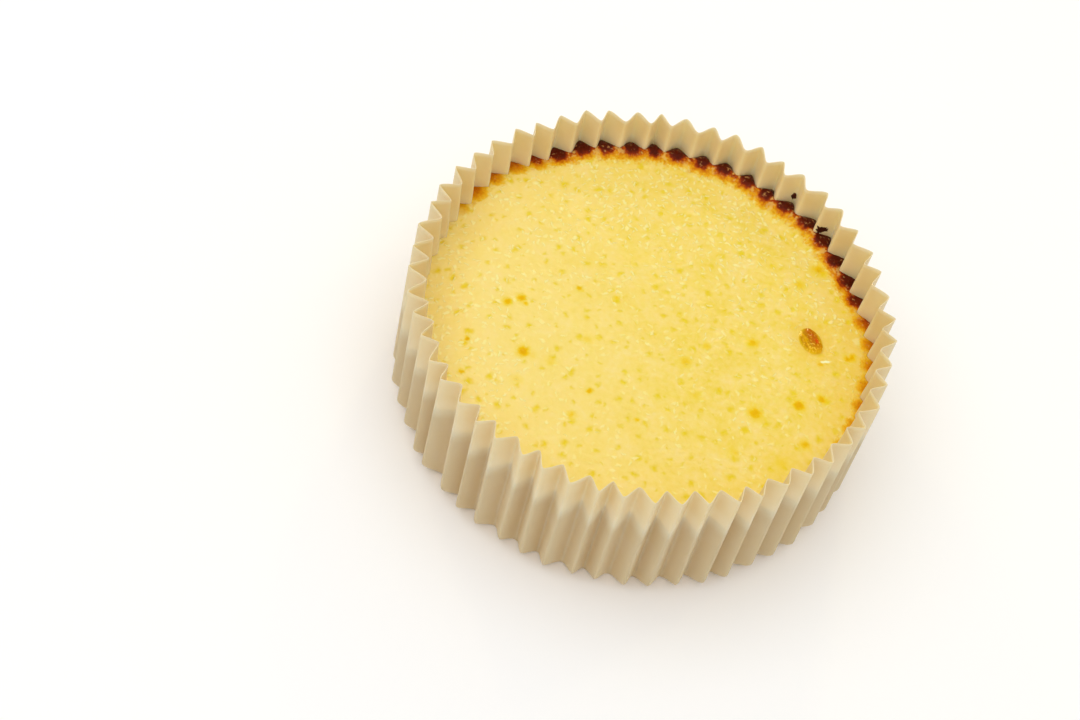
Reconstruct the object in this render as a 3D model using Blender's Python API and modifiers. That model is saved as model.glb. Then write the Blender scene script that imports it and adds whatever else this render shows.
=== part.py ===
"""A whole baked cheesecake in the fluted paper case that it was baked in, at its real size.

Metres, +Z up. The origin is the middle of the case's flat underside. An azimuth is measured from
+X towards +Y. Two closed solids: the case, a thin pleated cup, and the cake that fills it to
about three quarters of its height, with a browned, cragged edge at the back.
"""

import math

import bmesh
import bpy
from mathutils import Vector

OBJECT_NAME = "cheesecake"

# Paper case: a flat base, a rounded corner and an upright wall pressed into flutes
CASE_HEIGHT = 0.0509
CASE_RADIUS = 0.0726
BASE_RADIUS = 0.0664
CORNER_HEIGHT = 0.0060
CASE_WALL = 0.0004
FLUTES = 55
# How deep the flutes are at the rim, and how much deeper they are where the cake fills them
FLUTE_DEPTH = 0.0043
FLUTE_DEEPENING = 0.0007
# Where the corners of one flute lie along it: the narrow outer fold, then the round inner fold
FOLD_STATIONS = (0.0, 0.35, 0.5, 0.65)
# How much of a flute's curve is a plain wave; the rest is an arch, which sharpens its outer fold
FOLD_ROUNDNESS = 0.65
CORNER_BANDS = 3

# How uneven the hand-fitted case is
OVAL = 0.0007
FIRST_FOLD = math.radians(-179.5)
CROWDING = math.radians(1.1)
CROWDED_FROM = math.radians(66.0)
FOLD_SHIFT = math.radians(0.8)
FOLD_LEAN = math.radians(0.7)
FOLD_REACH = 0.0006

# Cake: it keeps a hair clear of the paper all round, and its surface sinks into each flute
GAP = 0.0003
CAKE_EDGE_HEIGHT = 0.0363
POCKET_SINK = 0.0010
SHELF_SINK_SHARE = 0.3
DOME = 0.0018
ROLL = 0.00018
RIM_SMOOTH_RADIUS = 0.0660
RING_SPACING = 0.0022
INNER_RING_SPACING = 0.0060
INNER_RADIUS = 0.0430

# Raised back: the edge rose towards the hottest side of the oven, and sinks deeper into its flutes
BACK_RISE = 0.0029
BACK_RISE_FROM = 0.0600
BACK_RISE_TO = 0.0675
BACK_POCKET_SINK = 0.0012
BACK_RIGHT = (math.radians(30.0), math.radians(60.0))
BACK_LEFT = (math.radians(108.0), math.radians(135.0))

# Browned edge: a blistered crag in the mouth of each flute, from the right round the back to the left
BROWNED_FROM = math.radians(-20.0)
BROWNED_TO = math.radians(155.0)
BROWNED_FADE = math.radians(25.0)
CRAG_HEIGHT = 0.0004
CRAG_SPREAD = 0.0003

# One oval blister, standing in a shallow smooth hollow
BLISTER_X = 0.0494
BLISTER_Y = 0.0123
BLISTER_TURN = math.radians(-52.0)
BLISTER_LENGTH = 0.0100
BLISTER_WIDTH = 0.0064
BLISTER_HEIGHT = 0.0014
HOLLOW_RADIUS = 0.0090
HOLLOW_DEPTH = 0.0006

PAPER_COLOUR = (0.69, 0.47, 0.21)
PAPER_ROUGHNESS = 0.75
CAKE_COLOUR = (0.92, 0.69, 0.15)
CAKE_ROUGHNESS = 0.35
SMOOTH_ANGLE = math.radians(35.0)
POINTS_PER_FLUTE = len(FOLD_STATIONS)


def clear_scene():
    for old in list(bpy.data.objects):
        bpy.data.objects.remove(old)


def material(name, colour, roughness):
    made = bpy.data.materials.new(name)
    made.use_nodes = True
    shader = made.node_tree.nodes["Principled BSDF"]
    shader.inputs["Base Color"].default_value = (*colour, 1.0)
    shader.inputs["Roughness"].default_value = roughness
    shader.inputs["Metallic"].default_value = 0.0
    return made


def smooth_step(low, high, value):
    share = min(max((value - low) / (high - low), 0.0), 1.0)
    return share * share * (3.0 - 2.0 * share)


def uneven(flute, pace, start):
    """A value between -1 and 1 for one flute, which doesn't repeat round the case."""
    slow = math.sin(pace * flute + start)
    fast = math.sin(2.7 * pace * flute + 2.0 * start)
    return 0.6 * slow + 0.4 * fast


def fold_azimuth(flute, height):
    """Where an outer fold stands at this height: crowded at one side, shifted, and leaning a little."""
    lap, flute = divmod(flute, FLUTES)
    even = FIRST_FOLD + math.tau * flute / FLUTES
    crowd = CROWDING * math.sin(even - CROWDED_FROM)
    shift = FOLD_SHIFT * uneven(flute, 2.4, 0.3)
    lean = FOLD_LEAN * uneven(flute, 3.1, 1.1) * (1.0 - height / CASE_HEIGHT)
    return even + crowd + shift + lean + math.tau * lap


def fold_radius(flute, azimuth):
    return CASE_RADIUS + OVAL * math.cos(2.0 * azimuth) + FOLD_REACH * uneven(flute % FLUTES, 1.9, 2.2)


def pleat(station):
    """How far in the paper stands along a flute, from 0 at its outer fold to 1 at its inner fold."""
    wave = (1.0 - math.cos(math.tau * station)) / 2.0
    arch = math.sin(math.pi * station)
    return FOLD_ROUNDNESS * wave + (1.0 - FOLD_ROUNDNESS) * arch


def case_ring(height):
    """The outside of the paper at one height, as a closed row of points round the case."""
    rise = min(height / CORNER_HEIGHT, 1.0)
    flare = math.sqrt(1.0 - (1.0 - rise) ** 2)
    depth = FLUTE_DEPTH + FLUTE_DEEPENING * (1.0 - smooth_step(CAKE_EDGE_HEIGHT, CASE_HEIGHT, height))
    ring = []
    for flute in range(FLUTES):
        here = fold_azimuth(flute, height)
        after = fold_azimuth(flute + 1, height)
        reach_here = fold_radius(flute, here)
        reach_after = fold_radius(flute + 1, after)
        for station in FOLD_STATIONS:
            azimuth = here + (after - here) * station
            outer = reach_here + (reach_after - reach_here) * station
            pleated = outer - depth * pleat(station) * flare
            flat = BASE_RADIUS + (pleated - BASE_RADIUS) * flare
            ring.append(Vector((flat * math.cos(azimuth), flat * math.sin(azimuth), height)))
    return ring


def inset(ring, distance):
    """The ring moved inwards by a distance measured square to its sides, with mitred corners."""
    moved = []
    for index, point in enumerate(ring):
        before = (point - ring[index - 1]).normalized()
        after = (ring[(index + 1) % len(ring)] - point).normalized()
        inward_before = Vector((-before.y, before.x, 0.0))
        inward_after = Vector((-after.y, after.x, 0.0))
        middle = (inward_before + inward_after).normalized()
        moved.append(point + middle * (distance / middle.dot(inward_after)))
    return moved


def corner_heights():
    """Heights that divide the rounded corner into equal turns."""
    turns = (math.pi / 2.0 * band / CORNER_BANDS for band in range(CORNER_BANDS + 1))
    return [CORNER_HEIGHT * (1.0 - math.cos(turn)) for turn in turns]


def add_band(bm, verts, places):
    """Extrudes the open edge of a loft to the next row of places and returns its points in order."""
    edges = [bm.edges.get((verts[index - 1], vert)) for index, vert in enumerate(verts)]
    made = bmesh.ops.extrude_edge_only(bm, edges=edges)["geom"]
    new = {vert for vert in made if isinstance(vert, bmesh.types.BMVert)}
    row = []
    for vert, place in zip(verts, places):
        raised = next(edge.other_vert(vert) for edge in vert.link_edges if edge.other_vert(vert) in new)
        raised.co = place
        row.append(raised)
    return row


def start_loft(bm, places):
    """The capped first row of a loft."""
    verts = bmesh.ops.create_circle(bm, cap_ends=True, segments=len(places), radius=BASE_RADIUS)["verts"]
    for vert, place in zip(verts, places):
        vert.co = place
    bmesh.ops.poke(bm, faces=bm.faces[:])
    return verts


def finished(bm, name, paint, collection):
    bmesh.ops.recalc_face_normals(bm, faces=bm.faces)
    mesh = bpy.data.meshes.new(name)
    bm.to_mesh(mesh)
    bm.free()
    mesh.shade_smooth()
    mesh.set_sharp_from_angle(angle=SMOOTH_ANGLE)
    mesh.materials.append(paint)
    thing = bpy.data.objects.new(name, mesh)
    collection.objects.link(thing)
    return thing


def make_paper_case(collection):
    """The pleated paper as one open sheet, thickened inwards."""
    bm = bmesh.new()
    heights = corner_heights()
    row = start_loft(bm, case_ring(heights[0]))
    for height in [*heights[1:], CAKE_EDGE_HEIGHT, CASE_HEIGHT]:
        row = add_band(bm, row, case_ring(height))
    paint = material("baking_paper", PAPER_COLOUR, PAPER_ROUGHNESS)
    case = finished(bm, "paper_case", paint, collection)
    wall = case.modifiers.new("paper_thickness", "SOLIDIFY")
    wall.thickness = CASE_WALL
    wall.offset = -1.0
    wall.use_even_offset = True
    wall.use_rim = True
    return case


def browned(azimuth):
    """How strongly the edge is browned at this azimuth, from 0 to 1."""
    turned = math.remainder(azimuth - (BROWNED_FROM + BROWNED_TO) / 2.0, math.tau)
    reach = (BROWNED_TO - BROWNED_FROM) / 2.0
    return 1.0 - smooth_step(reach - BROWNED_FADE, reach, abs(turned))


def raised(azimuth):
    """How far the back edge rises at this azimuth, from 0 to 1."""
    return smooth_step(*BACK_RIGHT, azimuth) * (1.0 - smooth_step(*BACK_LEFT, azimuth))


def blister(x, y):
    """The height that the blister and the hollow round it add at this place."""
    away_x = x - BLISTER_X
    away_y = y - BLISTER_Y
    hollow = 1.0 - smooth_step(0.0, HOLLOW_RADIUS, math.hypot(away_x, away_y))
    along = (away_x * math.cos(BLISTER_TURN) + away_y * math.sin(BLISTER_TURN)) * 2.0 / BLISTER_LENGTH
    across = (away_y * math.cos(BLISTER_TURN) - away_x * math.sin(BLISTER_TURN)) * 2.0 / BLISTER_WIDTH
    round_top = max(1.0 - along * along - across * across, 0.0)
    return BLISTER_HEIGHT * math.sqrt(round_top) - HOLLOW_DEPTH * hollow


def cake_top(x, y):
    """The height of the open surface: a low dome that rolls gently, with a raised back and one blister."""
    reach = math.hypot(x, y)
    share = min(reach / CASE_RADIUS, 1.0)
    dome = DOME * (1.0 - share * share)
    back = BACK_RISE * raised(math.atan2(y, x)) * smooth_step(BACK_RISE_FROM, BACK_RISE_TO, reach)
    roll = ROLL * (math.sin(130.0 * x + 1.0) + math.sin(170.0 * y + 80.0 * x) - math.sin(90.0 * y))
    return CAKE_EDGE_HEIGHT + dome + back + roll + blister(x, y)


def near_paper(point, index, sink_share, crag_share):
    """A point near the paper: sunk towards the outer fold, and raised by the crag there."""
    flute = index // POINTS_PER_FLUTE
    in_flute = abs(math.cos(math.pi * FOLD_STATIONS[index % POINTS_PER_FLUTE]))
    azimuth = math.atan2(point.y, point.x)
    crag = (CRAG_HEIGHT + CRAG_SPREAD * uneven(flute, 2.1, 0.7)) * browned(azimuth) * crag_share
    sink = (POCKET_SINK + BACK_POCKET_SINK * raised(azimuth)) * sink_share
    return Vector((point.x, point.y, cake_top(point.x, point.y) + (crag - sink) * in_flute))


def on_circle(point, radius):
    """The place on the open surface at this radius, on the same azimuth as the point."""
    scale = radius / math.hypot(point.x, point.y)
    return Vector((point.x * scale, point.y * scale, cake_top(point.x * scale, point.y * scale)))


def ring_radii():
    """Radii of the rings of the open surface: close together out past the blister, wider near the middle."""
    radii = [RIM_SMOOTH_RADIUS - RING_SPACING]
    while radii[-1] > 1.5 * INNER_RING_SPACING:
        spacing = RING_SPACING if radii[-1] > INNER_RADIUS else INNER_RING_SPACING
        radii.append(radii[-1] - spacing)
    return radii


def make_cake(collection):
    """The cake: base and fluted side inside the paper, then the top in rings from the edge inwards."""
    clear = CASE_WALL + GAP
    bm = bmesh.new()
    heights = corner_heights()
    lifted = Vector((0.0, 0.0, clear))
    row = start_loft(bm, [point + lifted for point in inset(case_ring(heights[0]), clear)])
    for height in heights[1:]:
        row = add_band(bm, row, [point + lifted for point in inset(case_ring(height), clear)])

    edge = inset(case_ring(CAKE_EDGE_HEIGHT), clear)
    at_paper = {"sink_share": 1.0, "crag_share": 0.0}
    row = add_band(bm, row, [near_paper(point, index, **at_paper) for index, point in enumerate(edge)])
    shelf = [(point + on_circle(point, RIM_SMOOTH_RADIUS)) / 2.0 for point in edge]
    on_shelf = {"sink_share": SHELF_SINK_SHARE, "crag_share": 1.0}
    row = add_band(bm, row, [near_paper(point, index, **on_shelf) for index, point in enumerate(shelf)])
    row = add_band(bm, row, [on_circle(point, RIM_SMOOTH_RADIUS) for point in edge])

    # From here in, the two points of each half flute meet in one
    radii = ring_radii()
    middles = [(edge[index] + edge[index + 1]) / 2.0 for index in range(0, len(edge), 2)]
    row = add_band(bm, row, [on_circle(middles[index // 2], radii[0]) for index in range(len(edge))])
    bmesh.ops.weld_verts(bm, targetmap=dict(zip(row[1::2], row[::2])))
    row = row[::2]
    for radius in radii[1:]:
        row = add_band(bm, row, [on_circle(middle, radius) for middle in middles])
    cap = bm.faces.new(row)
    centre = bmesh.ops.poke(bm, faces=[cap])["verts"][0]
    centre.co.z = cake_top(0.0, 0.0)
    return finished(bm, "cake", material("baked_cheese", CAKE_COLOUR, CAKE_ROUGHNESS), collection)


clear_scene()
cheesecake = bpy.data.collections.new(OBJECT_NAME)
bpy.context.scene.collection.children.link(cheesecake)
make_paper_case(cheesecake)
make_cake(cheesecake)
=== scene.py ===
"""Looks of a whole baked cheesecake in its fluted paper case.

Metres, +Z up, the origin in the middle of the case's underside. An azimuth is measured from +X
towards +Y. "Along" counts flutes round the case: 3.25 is a quarter of the way from outer fold 3 to
outer fold 4. "Pocket" is 1 at an outer fold and 0 at an inner fold.
"""

import math

import bpy
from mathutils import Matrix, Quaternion, Vector


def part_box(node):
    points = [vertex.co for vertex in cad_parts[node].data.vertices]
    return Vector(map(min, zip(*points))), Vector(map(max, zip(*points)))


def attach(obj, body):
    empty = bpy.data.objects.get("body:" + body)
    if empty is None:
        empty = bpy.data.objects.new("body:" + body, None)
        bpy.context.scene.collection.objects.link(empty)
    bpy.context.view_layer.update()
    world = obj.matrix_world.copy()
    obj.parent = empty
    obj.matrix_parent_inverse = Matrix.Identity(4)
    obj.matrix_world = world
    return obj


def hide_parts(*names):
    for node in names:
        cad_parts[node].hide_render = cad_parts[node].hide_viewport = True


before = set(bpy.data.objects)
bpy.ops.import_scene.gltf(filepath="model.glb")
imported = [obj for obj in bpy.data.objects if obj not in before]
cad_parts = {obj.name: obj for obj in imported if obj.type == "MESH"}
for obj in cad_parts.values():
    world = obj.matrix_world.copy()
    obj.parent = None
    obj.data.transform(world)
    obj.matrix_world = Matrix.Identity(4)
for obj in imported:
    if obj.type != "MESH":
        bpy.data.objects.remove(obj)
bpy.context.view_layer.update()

MM = 0.001
ATTRIBUTE = "ShaderNodeAttribute"
GROUP = "GeometryNodeGroup"
MATH = "ShaderNodeMath"
MIX = "ShaderNodeMix"
NAMED = "GeometryNodeInputNamedAttribute"
NOISE = "ShaderNodeTexNoise"
RANGE = "ShaderNodeMapRange"
RAMP = "ShaderNodeValToRGB"
ROTATE = "ShaderNodeVectorRotate"
SPLIT = "ShaderNodeSeparateXYZ"
STORE = "GeometryNodeStoreNamedAttribute"
VECTOR = "ShaderNodeVectorMath"
VORONOI = "ShaderNodeTexVoronoi"

# Sizes that the case and the cake share with the solids
CASE_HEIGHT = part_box("paper_case")[1].z
PLEAT_SIZES = {
    "Flutes": 55.0,
    "First fold": math.radians(-179.5),
    "Crowding": math.radians(1.1),
    "Crowded from": math.radians(66.0),
    "Fold shift": math.radians(0.8),
    "Fold lean": math.radians(0.7),
    "Fold reach": 0.6 * MM,
    "Oval": 0.7 * MM,
    "Case height": CASE_HEIGHT,
    "Case radius": 72.6 * MM,
    "Edge height": 36.3 * MM,
    "Flute depth": 4.3 * MM,
    "Flute deepening": 0.7 * MM,
    "Left deepening": 1.1 * MM,
    "Fold roundness": 0.3,
    "Roundness spread": 0.25,
    "Back roundness": 0.35,
    "Fold skew": 0.07,
}
CORNER_SIZES = {"Base radius": 66.4 * MM, "Corner height": 6.0 * MM}
POINTS_PER_FLUTE = 16
FLUTES = int(PLEAT_SIZES["Flutes"])
# How sharply the paper is creased: 1 is a zigzag with straight flanks
CREASING = 0.985
# The flutes differ by a slow wave round the case, with a pace and start for each difference, and by a
# weaker, faster one: its phase is this many times the slow one's, moved by this many times the start
DIFFERENCES = {
    "shift": (2.4, 0.3),
    "lean": (3.1, 1.1),
    "reach": (1.9, 2.2),
    "skew": (1.3, 0.9),
    "sharpness": (2.9, 1.7),
    "crag": (2.1, 0.7),
}
SLOW_SHARE = 0.6
FAST_PACE = 2.7
FAST_START = -0.7

# Paper
PAPER_THICKNESS = 0.18 * MM
BASE_ROWS = 3
CORNER_ROWS = 7
WALL_ROWS = 26
CASE_SIZES = {"Buckle": 0.16 * MM, "Buckle width": 17.0 * MM, "Rim wave": 0.35 * MM}
# From where the wall stands free of the cake to its rim
FREE_WALL = (43.0 * MM, 50.5 * MM)
# Points of the paper's first and last column that are nearer than this become one
SEAM_DISTANCE = 0.01 * MM

# Cake: its surface sinks into the flutes, and its back edge rose
EDGE_SIZES = {
    "Pocket sink": 1.0 * MM,
    "Back pocket sink": 1.2 * MM,
    "Back rise": 2.9 * MM,
    "Left dip": 3.0 * MM,
}
SMOOTH_RADIUS = 66.0 * MM
BACK_FROM_RADIUS = 60.0 * MM
BACK_TO_RADIUS = 67.5 * MM
BACK_RISE_ARC = (math.radians(30.0), math.radians(60.0))
BACK_FALL_ARC = (math.radians(135.0), math.radians(108.0))
# The edge lies lower round this azimuth, and the flutes are deeper there
LEFT_MIDDLE = math.radians(186.0)
LEFT_ARC = (math.cos(math.radians(36.0)), math.cos(math.radians(12.0)))
LEFT_FROM_RADIUS = 52.0 * MM
CAKE_SIZES = {
    "Smooth radius": SMOOTH_RADIUS,
    "Clearance": 0.3 * MM,
    "Dome": 1.8 * MM,
    "Roll": 0.18 * MM,
    "Crag height": 0.4 * MM,
    "Crag spread": 0.3 * MM,
    "Lump height": 0.5 * MM,
    "Pit depth": 0.12 * MM,
    "Blister height": 1.4 * MM,
    "Hollow depth": 0.6 * MM,
    "Hollow radius": 9.0 * MM,
}
ALL_CASE_SIZES = {**PLEAT_SIZES, **CORNER_SIZES, **EDGE_SIZES, **CASE_SIZES}
ALL_CAKE_SIZES = {**PLEAT_SIZES, **CORNER_SIZES, **EDGE_SIZES, **CAKE_SIZES}
RING_SPACING = 0.5 * MM
SHELF_ROWS = 13
SIDE_ROWS = 7
# Rings within this radius have half the points, those within half of it a quarter, and so on up to
# this many halvings
HALVED_WITHIN = 44.0 * MM
HALVINGS = 4
# How steeply the surface sinks towards an outer fold
SINK_CURVE = 1.8
# Low swells of the skin, and the width of the small lumps at the browned edge
SWELL_WIDTH = 6.0 * MM
SWELL_HEIGHT = 0.3 * MM
LUMP_WIDTH = 1.5 * MM
# The lumps begin and are full where browning, in steps of colour, has come this far
LUMPS_FROM = (-1.6, 0.8)
# Rolling ground of the open surface: waves per metre along X and Y, and a phase
ROLLS = (((130.0, 0.0, 0.0), 1.0), ((80.0, 170.0, 0.0), 0.0), ((0.0, -90.0, 0.0), 0.0))

# Browning of the edge: where it sets in and ends, and the shorter arc where it is burnt
BROWN_RISE = (math.radians(-24.0), math.radians(-13.0))
BROWN_FALL = (math.radians(166.0), math.radians(157.0))
BURNT_RISE = (math.radians(18.0), math.radians(36.0))
BURNT_FALL = (math.radians(143.0), math.radians(126.0))
UNBURNT_HEAT = 0.5
# Browning in steps of colour: at the inner folds, per millimetre inside and outside their circle, how
# much more in a flute, from which pocket and place on, and how much less where the edge stayed pale
BROWN_AT_FOLDS = 1.5
BROWNER_INSIDE = 0.72
BROWNER_OUTSIDE = 0.7
BROWNER_POCKET = 2.3
POCKET_BROWNS = (0.2, 0.85)
POCKET_BROWNS_FROM = (-4.6, -0.2)
PALER_COOL = -4.6

# Pores of the open surface: the largest one's radius, the smallest one's share of it, how much of a
# pore is its floor, and how strong the faintest would be
PIT_SPACING = 5.4 * MM
PIT_RADIUS = 0.75 * MM
SMALLEST_PIT = 0.3
PIT_FLOOR = 0.05
FAINTEST_PIT = 0.4
STAIN_WIDENING = 2.7
PIT_WOBBLE = 1.9 * MM
PIT_WOBBLE_WIDTH = 2.2 * MM

# Small curds that stand out of the surface, painted pale as glints: spacing, and half length and half
# width
CURD_GLINT_SPACING = 2.2 * MM
CURD_GLINT_HALF = (1.5 * MM, 0.65 * MM, MM)
CURD_GLINT_BEND = 1.3 * MM
CURD_GLINT_BEND_WIDTH = 1.5 * MM
# How many times smaller the smallest curd is, and where between its outline, 1, and its middle a curd
# begins and is full
SMALLEST_CURD_GLINT = 1.9
CURD_GLINT_EDGE = (1.1, 0.35)
# How far the crowding passes a curd's own chance where it is full, and how strong the faintest is
FULL_CROWDING = 0.6
FAINTEST_CURD_GLINT = 0.1
# How pale the curds are painted: painted glints
CURD_GLINT_PALENESS = 0.72

# Blister: an oval, caramelised and glossy, with low furrows. The furrows' pace and the red spot are
# measured in its own half length and half width.
BLISTER_PLACE = (49.2 * MM, 12.9 * MM, 0.0)
BLISTER_TURN = math.radians(-52.0)
BLISTER_HALF = (5.0 * MM, 3.5 * MM, 1.0)
BLISTER_WOBBLE_WIDTH = 4.0 * MM
BLISTER_WOBBLE = 0.6 * MM
FURROW_PACE = 7.5
FURROW_DEPTH = 0.03
RED_SPOT = (0.18, 0.42, 0.0)

# Golden freckles where the surface caught: place and radius in millimetres, and depth of colour.
# Each fades out at its reach, which is this many times its radius, and its outline is frayed.
FRECKLE_REACH = 2.1
FRECKLE_FRAY = 1.6 * MM
FRECKLES = (
    (-41.2, -9.6, 1.3, 0.85),
    (-37.6, -6.7, 1.4, 0.90),
    (-36.0, -8.1, 0.8, 0.70),
    (-31.6, -25.0, 1.7, 1.00),
    (-28.9, -25.5, 1.2, 0.35),
    (-48.5, -26.5, 0.8, 0.90),
    (-46.5, -38.5, 0.9, 0.75),
    (-22.2, 4.0, 1.0, 0.80),
    (-9.3, -31.1, 0.9, 0.85),
    (-10.8, 4.9, 0.7, 0.60),
    (-14.9, -13.8, 1.4, 0.45),
    (45.7, 41.0, 2.1, 0.75),
    (41.3, 32.5, 1.5, 0.60),
    (32.5, 5.2, 1.7, 0.75),
    (19.5, -2.3, 1.3, 0.60),
    (42.2, 16.1, 1.5, 0.35),
    (14.8, -10.2, 1.6, 0.65),
    (38.9, -19.8, 2.1, 0.85),
    (50.7, -12.1, 1.7, 1.00),
    (56.8, -6.9, 1.4, 0.80),
    (61.4, 11.0, 1.2, 0.80),
    (62.6, 12.3, 1.1, 0.90),
    (53.7, 5.7, 0.8, 0.90),
    (55.4, -24.6, 1.5, 0.75),
    (50.7, -33.7, 1.8, 0.40),
    (20.5, -20.4, 1.5, 0.45),
    (36.5, -35.2, 1.2, 0.50),
    (-12.1, -40.7, 1.1, 0.65),
    (6.3, -35.7, 0.7, 0.70),
    (-22.9, -25.6, 1.4, 0.40),
    (-30.7, -35.0, 1.5, 0.35),
)

# Painted highlights, pale streaks on the wet surface: place, half length and half width in millimetres,
# turn in degrees, and how pale they are
PAINTED_HIGHLIGHTS = (
    (55.1, 7.3, 1.7, 0.5, 28.0, 1.0),
    (63.0, 18.9, 1.8, 1.3, 60.0, 0.35),
)

# Bits of batter that stuck to the paper: place along the flutes, height, width and length in
# millimetres, and how scorched they are
FLECKS = (
    (35.30, 40.2, 3.2, 3.8, 1.0),
    (35.46, 39.3, 3.0, 1.6, 0.0),
    (37.04, 40.3, 1.9, 2.8, 0.9),
    (37.42, 39.2, 2.0, 1.8, 0.0),
    (38.42, 39.3, 1.8, 1.6, 0.0),
    (39.42, 39.2, 1.8, 1.8, 0.1),
    (52.03, 37.6, 0.8, 1.0, 1.0),
)
PAPER_PER_FLUTE = 11.8 * MM
FLECK_THICKNESS = 0.45 * MM
# How their outlines are torn: how fast the noise changes along each axis and over all, and how far it
# swings, more so the more a scab is scorched
FLECK_GRAIN = (1.0, 0.15, 1.0)
FLECK_TEARS = 1.9
FLECK_SWING = (0.5, 0.9)

# Noise patterns by their width in millimetres and their detail: on the paper, on the cake seen from
# above, on its crust and on the scabs
PAPER_GRAIN = {"clouds": (9.0, 3.0), "ragged": (2.0, 2.0), "fibres": (0.7, 3.0)}
SKIN_GRAIN = {
    "patches": (9.0, 3.0),
    "mottle": (1.9, 2.0),
    "drifts": (13.0, 1.0),
    "fray": (1.3, 2.0),
    "wrinkles": (16.0, 1.0),
}
CRUST_GRAIN = {
    "coarse": (2.2, 3.0),
    "pebble": (0.9, 1.0),
    "froth": (1.5, 1.0),
    "glint_dots": (1.3, 2.0),
    "crackle": (0.8, 2.0),
}
SCAB_GRAIN = {"grit": (0.8, 2.0)}
PEBBLE_WIDTH = 1.9 * MM
MOTTLE_SHARE = 0.45
# Heights of the fine relief in millimetres
RELIEF = {"skin": 0.45, "pore": -0.07, "curd_and_glint": 0.14, "crackle": 0.35}

# Directions in which the cake's colour and curds change
RIGHTWARDS = (0.95, 0.3, 0.0)
FRONTWARDS = (-0.9, -0.44, 0.0)
LEFTWARDS = (-0.94, -0.34, 0.0)

# Colours along each ramp, by place and sRGB hex value: from weak to strong, and across the blister
PAPER_TONES = ((0.3, "#e2c898"), (0.7, "#e8d0a8"))
BATTER_TONES = ((0.32, "#f8de8a"), (0.5, "#f5d96c"), (0.68, "#f0d34e"))
GOLD_TONES = ((0.0, "#f0d830"), (0.55, "#f0ca08"), (0.9, "#eab200"))
SCAB_TONES = ((0.0, "#f6e6b4"), (0.25, "#e8c878"), (0.8, "#5a2410"), (1.0, "#3c130a"))
CARAMEL_TONES = (
    (0.0, "#e8b80a"), (0.1, "#b87c00"), (0.22, "#e4aa06"), (0.36, "#c08400"),
    (0.5, "#c27000"), (0.66, "#c06000"), (0.8, "#c47600"), (0.94, "#dcb018"),
)
TOAST_TONES = (
    (0.04, "#f2cc40"), (0.2, "#eeb41c"), (0.36, "#e0930c"), (0.5, "#d07408"),
    (0.62, "#ae4808"), (0.74, "#8a2e0a"), (0.87, "#6e220a"), (1.0, "#5a1a08"),
)

# What is the same all over each material
PAPER_FINISH = {
    "Roughness": 0.62,
    "IOR": 1.5,
    "Specular IOR Level": 0.35,
    "Subsurface Weight": 0.45,
    "Subsurface Radius": (1.0, 0.8, 0.55),
    "Subsurface Scale": 1.0 * MM,
}
BATTER_FINISH = {
    "IOR": 1.4,
    "Specular IOR Level": 0.05,
    "Subsurface Weight": 0.25,
    "Subsurface Radius": (1.0, 0.7, 0.35),
    "Subsurface Scale": 1.2 * MM,
    "Coat Weight": 0.04,
    "Coat Roughness": 0.1,
    "Coat IOR": 1.36,
}
SCAB_FINISH = {"Roughness": 0.5, "Specular IOR Level": 0.2}
BOARD_COLOUR = "#fdfdfc"
BOARD_FINISH = {"Roughness": 0.8}

# Floor, light and viewpoint
FLOOR_SIZE = 6.0
LIT_PLACE = (0.0, 0.0, 0.03)
SOFTBOX = {"place": (-0.14, -0.08, 0.95), "size": 1.2, "watts": 4.65}
# Small low lamps behind the cake, which reach the viewer only from the far sides of lumps and curds
GLINT_LAMP = {"size": 0.08, "watts": 9.0, "tint": "#ffe9a0", "only_glints": True}
GLINT_PLACES = {
    "back_glint_lamp": (0.0, 0.80, 0.47),
    "left_glint_lamp": (-0.55, 0.60, 0.45),
    "right_glint_lamp": (0.55, 0.60, 0.45),
}
SKY_STRENGTH = 0.67
CAMERA_PLACE = Vector((0.0, -0.3983, 0.5504))
CAMERA_AIM = Vector((-0.0261, -0.0260, 0.0375))
CAMERA_ROLL = math.radians(15.14)
CAMERA_LENS = 71.93
SENSOR_WIDTH = 36.0


def linear(code):
    """An sRGB hex colour as linear red, green, blue and alpha."""
    shares = [int(code[start:start + 2], 16) / 255.0 for start in (1, 3, 5)]
    return [s / 12.92 if s <= 0.04045 else ((s + 0.055) / 1.055) ** 2.4 for s in shares] + [1.0]


def give(tree, node, inputs):
    """Gives a node's inputs values or links, by name or in order."""
    sockets = [socket for socket in node.inputs if socket.enabled]
    if isinstance(inputs, dict):
        pairs = [(next(s for s in sockets if s.name == name), value) for name, value in inputs.items()]
    else:
        pairs = zip(sockets, inputs)
    for socket, value in pairs:
        if isinstance(value, bpy.types.Node):
            value = next(output for output in value.outputs if output.enabled)
        if isinstance(value, bpy.types.NodeSocket):
            tree.links.new(value, socket)
        else:
            socket.default_value = value


def add(tree, kind, inputs=(), **settings):
    """Adds a node with its settings, and gives its inputs values or links."""
    node = tree.nodes.new(kind)
    for name, value in settings.items():
        setattr(node, name, value)
    give(tree, node, inputs)
    return node


def new_tree(name, sizes, outputs, geometry=False):
    """A geometry tree with a named input for each size; returns it with its input and output nodes."""
    tree = bpy.data.node_groups.new(name, "GeometryNodeTree")
    if geometry:
        tree.interface.new_socket("Geometry", in_out="INPUT", socket_type="NodeSocketGeometry")
        tree.interface.new_socket("Geometry", in_out="OUTPUT", socket_type="NodeSocketGeometry")
        tree.interface.new_socket("Material", in_out="INPUT", socket_type="NodeSocketMaterial")
    for label, value in sizes.items():
        socket = tree.interface.new_socket(label, in_out="INPUT", socket_type="NodeSocketFloat")
        socket.default_value = value
    for label in outputs:
        tree.interface.new_socket(label, in_out="OUTPUT", socket_type="NodeSocketFloat")
    return tree, tree.nodes.new("NodeGroupInput"), tree.nodes.new("NodeGroupOutput")


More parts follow.
